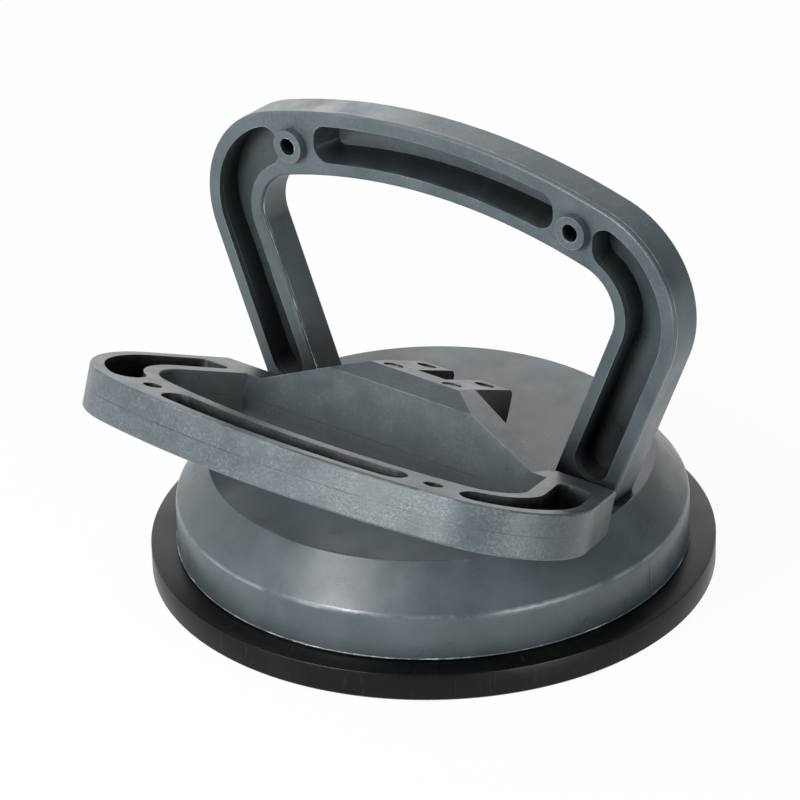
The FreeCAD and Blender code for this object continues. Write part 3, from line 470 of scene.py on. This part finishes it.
# ragged lips round the holes in the two bosses
lipSizes = {"reach": 35.6, "level": 84.0, "tip": -0.4, "behind": 0.14, "radius": 1.98, "line": 0.16, "rag": 0.09}
for side, word in ((1, "Right"), (-1, "Left")):
    bpy.ops.object.select_all(action="DESELECT")
    lipPlace = at(side * lipSizes["reach"], lipSizes["tip"] + lipSizes["behind"], lipSizes["level"])
    bpy.ops.mesh.primitive_torus_add(location=lipPlace, rotation=(math.pi / 2, 0, 0),
                                     major_segments=40, minor_segments=8,
                                     major_radius=lipSizes["radius"] * mm, minor_radius=lipSizes["line"] * mm)
    lip = beginPiece("bossLip" + word)
    bpy.ops.transform.vertex_random(offset=lipSizes["rag"] * mm, seed=3 + side)
    endPiece(lip, "base", flashNylon)

# flash where the rim of the dish was trimmed over the rubber
rimSizes = {"radius": 53.55, "level": 6.42, "line": 0.13, "rag": 0.05}
bpy.ops.object.select_all(action="DESELECT")
bpy.ops.mesh.primitive_torus_add(location=at(0, 0, rimSizes["level"]), major_segments=240, minor_segments=6,
                                 major_radius=rimSizes["radius"] * mm, minor_radius=rimSizes["line"] * mm)
rim = beginPiece("rimFlash")
bpy.ops.transform.vertex_random(offset=rimSizes["rag"] * mm, seed=5)
endPiece(rim, "base", flashNylon)

# the mould joint on the band of the dish, in line with each foot of the handle
jointSizes = {"depth": 2.1, "line": 0.05, "run": [(53.4, 15.0), (53.5, 6.6)]}
for side, word in ((1, "Right"), (-1, "Left")):
    joint = tracePoints("dishSeam" + word, [at(side * r, jointSizes["depth"], z) for r, z in jointSizes["run"]])
    thicken(joint, jointSizes["line"] * mm)
    endPiece(joint, "base", bodyNylon)
print("mould marks made")

# camera
view = {"azimuth": 38.4, "elevation": 27.9, "roll": -1.457, "distance": 860 * mm, "lens": 188.04,
        "sensor": 36, "nearest": 0.05, "target": (-4.93 * mm, -3.90 * mm, 36.22 * mm)}
turn, lift, roll = (math.radians(view[k]) for k in ("azimuth", "elevation", "roll"))
back = Vector((math.sin(turn) * math.cos(lift), -math.cos(turn) * math.cos(lift), math.sin(lift)))
right = Vector((math.cos(turn), math.sin(turn), 0))
up = back.cross(right)
rightward = right * math.cos(roll) + up * math.sin(roll)
upward = up * math.cos(roll) - right * math.sin(roll)
lensData = bpy.data.cameras.new("view")
lensData.lens = view["lens"]
lensData.sensor_width = view["sensor"]
lensData.clip_start = view["nearest"]
camera = bpy.data.objects.new("view", lensData)
bpy.context.scene.collection.objects.link(camera)
turned = Matrix((rightward, upward, back)).transposed().to_4x4()
camera.matrix_world = Matrix.Translation(Vector(view["target"]) + back * view["distance"]) @ turned
bpy.context.scene.camera = camera

# studio: softboxes by azimuth and elevation as seen from the object, sizes in metres, power in watts
softboxes = {
    "softboxFrontLeft": {"azimuth": -6, "elevation": 24, "width": 0.36, "height": 0.3, "power": 9.4},
    "softboxTop": {"azimuth": -45, "elevation": 70, "width": 0.6, "height": 0.6, "power": 3.4},
    "softboxBackLeft": {"azimuth": -142, "elevation": 16, "width": 0.9, "height": 0.4, "power": 1.5},
    "softboxRight": {"azimuth": 76, "elevation": 2, "width": 0.4, "height": 0.3, "power": 4.4},
}
lampPlace = {"aim": at(0, 0, 40), "away": 0.9}
for name, box in softboxes.items():
    data = bpy.data.lights.new(name, "AREA")
    data.shape = "RECTANGLE"
    data.size = box["width"]
    data.size_y = box["height"]
    data.energy = box["power"]
    lamp = bpy.data.objects.new(name, data)
    bpy.context.scene.collection.objects.link(lamp)
    around, above = math.radians(box["azimuth"]), math.radians(box["elevation"])
    away = Vector((math.sin(around) * math.cos(above), -math.cos(around) * math.cos(above), math.sin(above)))
    lamp.location = lampPlace["aim"] + away * lampPlace["away"]
    lamp.rotation_euler = away.to_track_quat("Z", "Y").to_euler()

# the white studio wall is on the left and falls away to the right; the camera sees plain white
worldLook = {"diffuse": 0.1, "wall": {"From Min": -0.5, "From Max": 0.6, "To Min": 1, "To Max": 0.15}}
world = bpy.data.worlds.new("studio")
bpy.context.scene.world = world
world.use_nodes = True
worldTree = world.node_tree
worldTree.nodes["Background"].inputs["Color"].default_value = (1, 1, 1, 1)
heading = addNode(worldTree, "ShaderNodeTexCoord", output="Generated")
eastward = addNode(worldTree, "ShaderNodeSeparateXYZ", None, {"Vector": heading}, "X")
wallGlow = addNode(worldTree, "ShaderNodeMapRange", None, {"Value": eastward, **worldLook["wall"]})
worldRays = addNode(worldTree, "ShaderNodeLightPath").node.outputs
lit = addNode(worldTree, "ShaderNodeMapRange", None,
              {"Value": worldRays["Is Glossy Ray"], "To Min": worldLook["diffuse"], "To Max": wallGlow})
strength = addNode(worldTree, "ShaderNodeMath", {"operation": "MAXIMUM"}, {0: worldRays["Is Camera Ray"], 1: lit})
worldTree.links.new(strength, worldTree.nodes["Background"].inputs["Strength"])

# floor: glows a little, so that it is white to the camera, and is clear from below to show the underside
floorLook = {"size": 6, "level": -0.02, "colour": "#f2f2f2", "rough": 0.9, "specular": 0.1,
             "glow": 0.45, "seenGlow": 0.95}
bpy.ops.object.select_all(action="DESELECT")
bpy.ops.mesh.primitive_plane_add(size=floorLook["size"], location=at(0, 0, floorLook["level"]))
floor = bpy.context.object
floor.name = "floor"
paint, tree, shader = newMaterial("paleFloor")[:3]
shader.inputs["Base Color"].default_value = linear(floorLook["colour"])
shader.inputs["Roughness"].default_value = floorLook["rough"]
shader.inputs["Specular IOR Level"].default_value = floorLook["specular"]
glow = addNode(tree, "ShaderNodeEmission", None, {"Strength": 1}, "Emission")
rays = addNode(tree, "ShaderNodeLightPath").node.outputs
seen = addNode(tree, "ShaderNodeMath", {"operation": "MAXIMUM"}, {0: rays["Is Camera Ray"], 1: rays["Is Glossy Ray"]})
glowShare = addNode(tree, "ShaderNodeMapRange", None,
                    {"Value": seen, "To Min": floorLook["glow"], "To Max": floorLook["seenGlow"]})
upperSide = addNode(tree, "ShaderNodeMixShader", None, {0: glowShare, 1: shader.outputs["BSDF"], 2: glow}, "Shader")
below = addNode(tree, "ShaderNodeNewGeometry", output="Backfacing")
clear = addNode(tree, "ShaderNodeBsdfTransparent", output="BSDF")
oneSided = addNode(tree, "ShaderNodeMixShader", None, {0: below, 1: upperSide, 2: clear}, "Shader")
tree.links.new(oneSided, tree.nodes["Material Output"].inputs["Surface"])
dress(floor, paint)
print("studio made")

bpy.context.scene.view_settings.view_transform = "Standard"
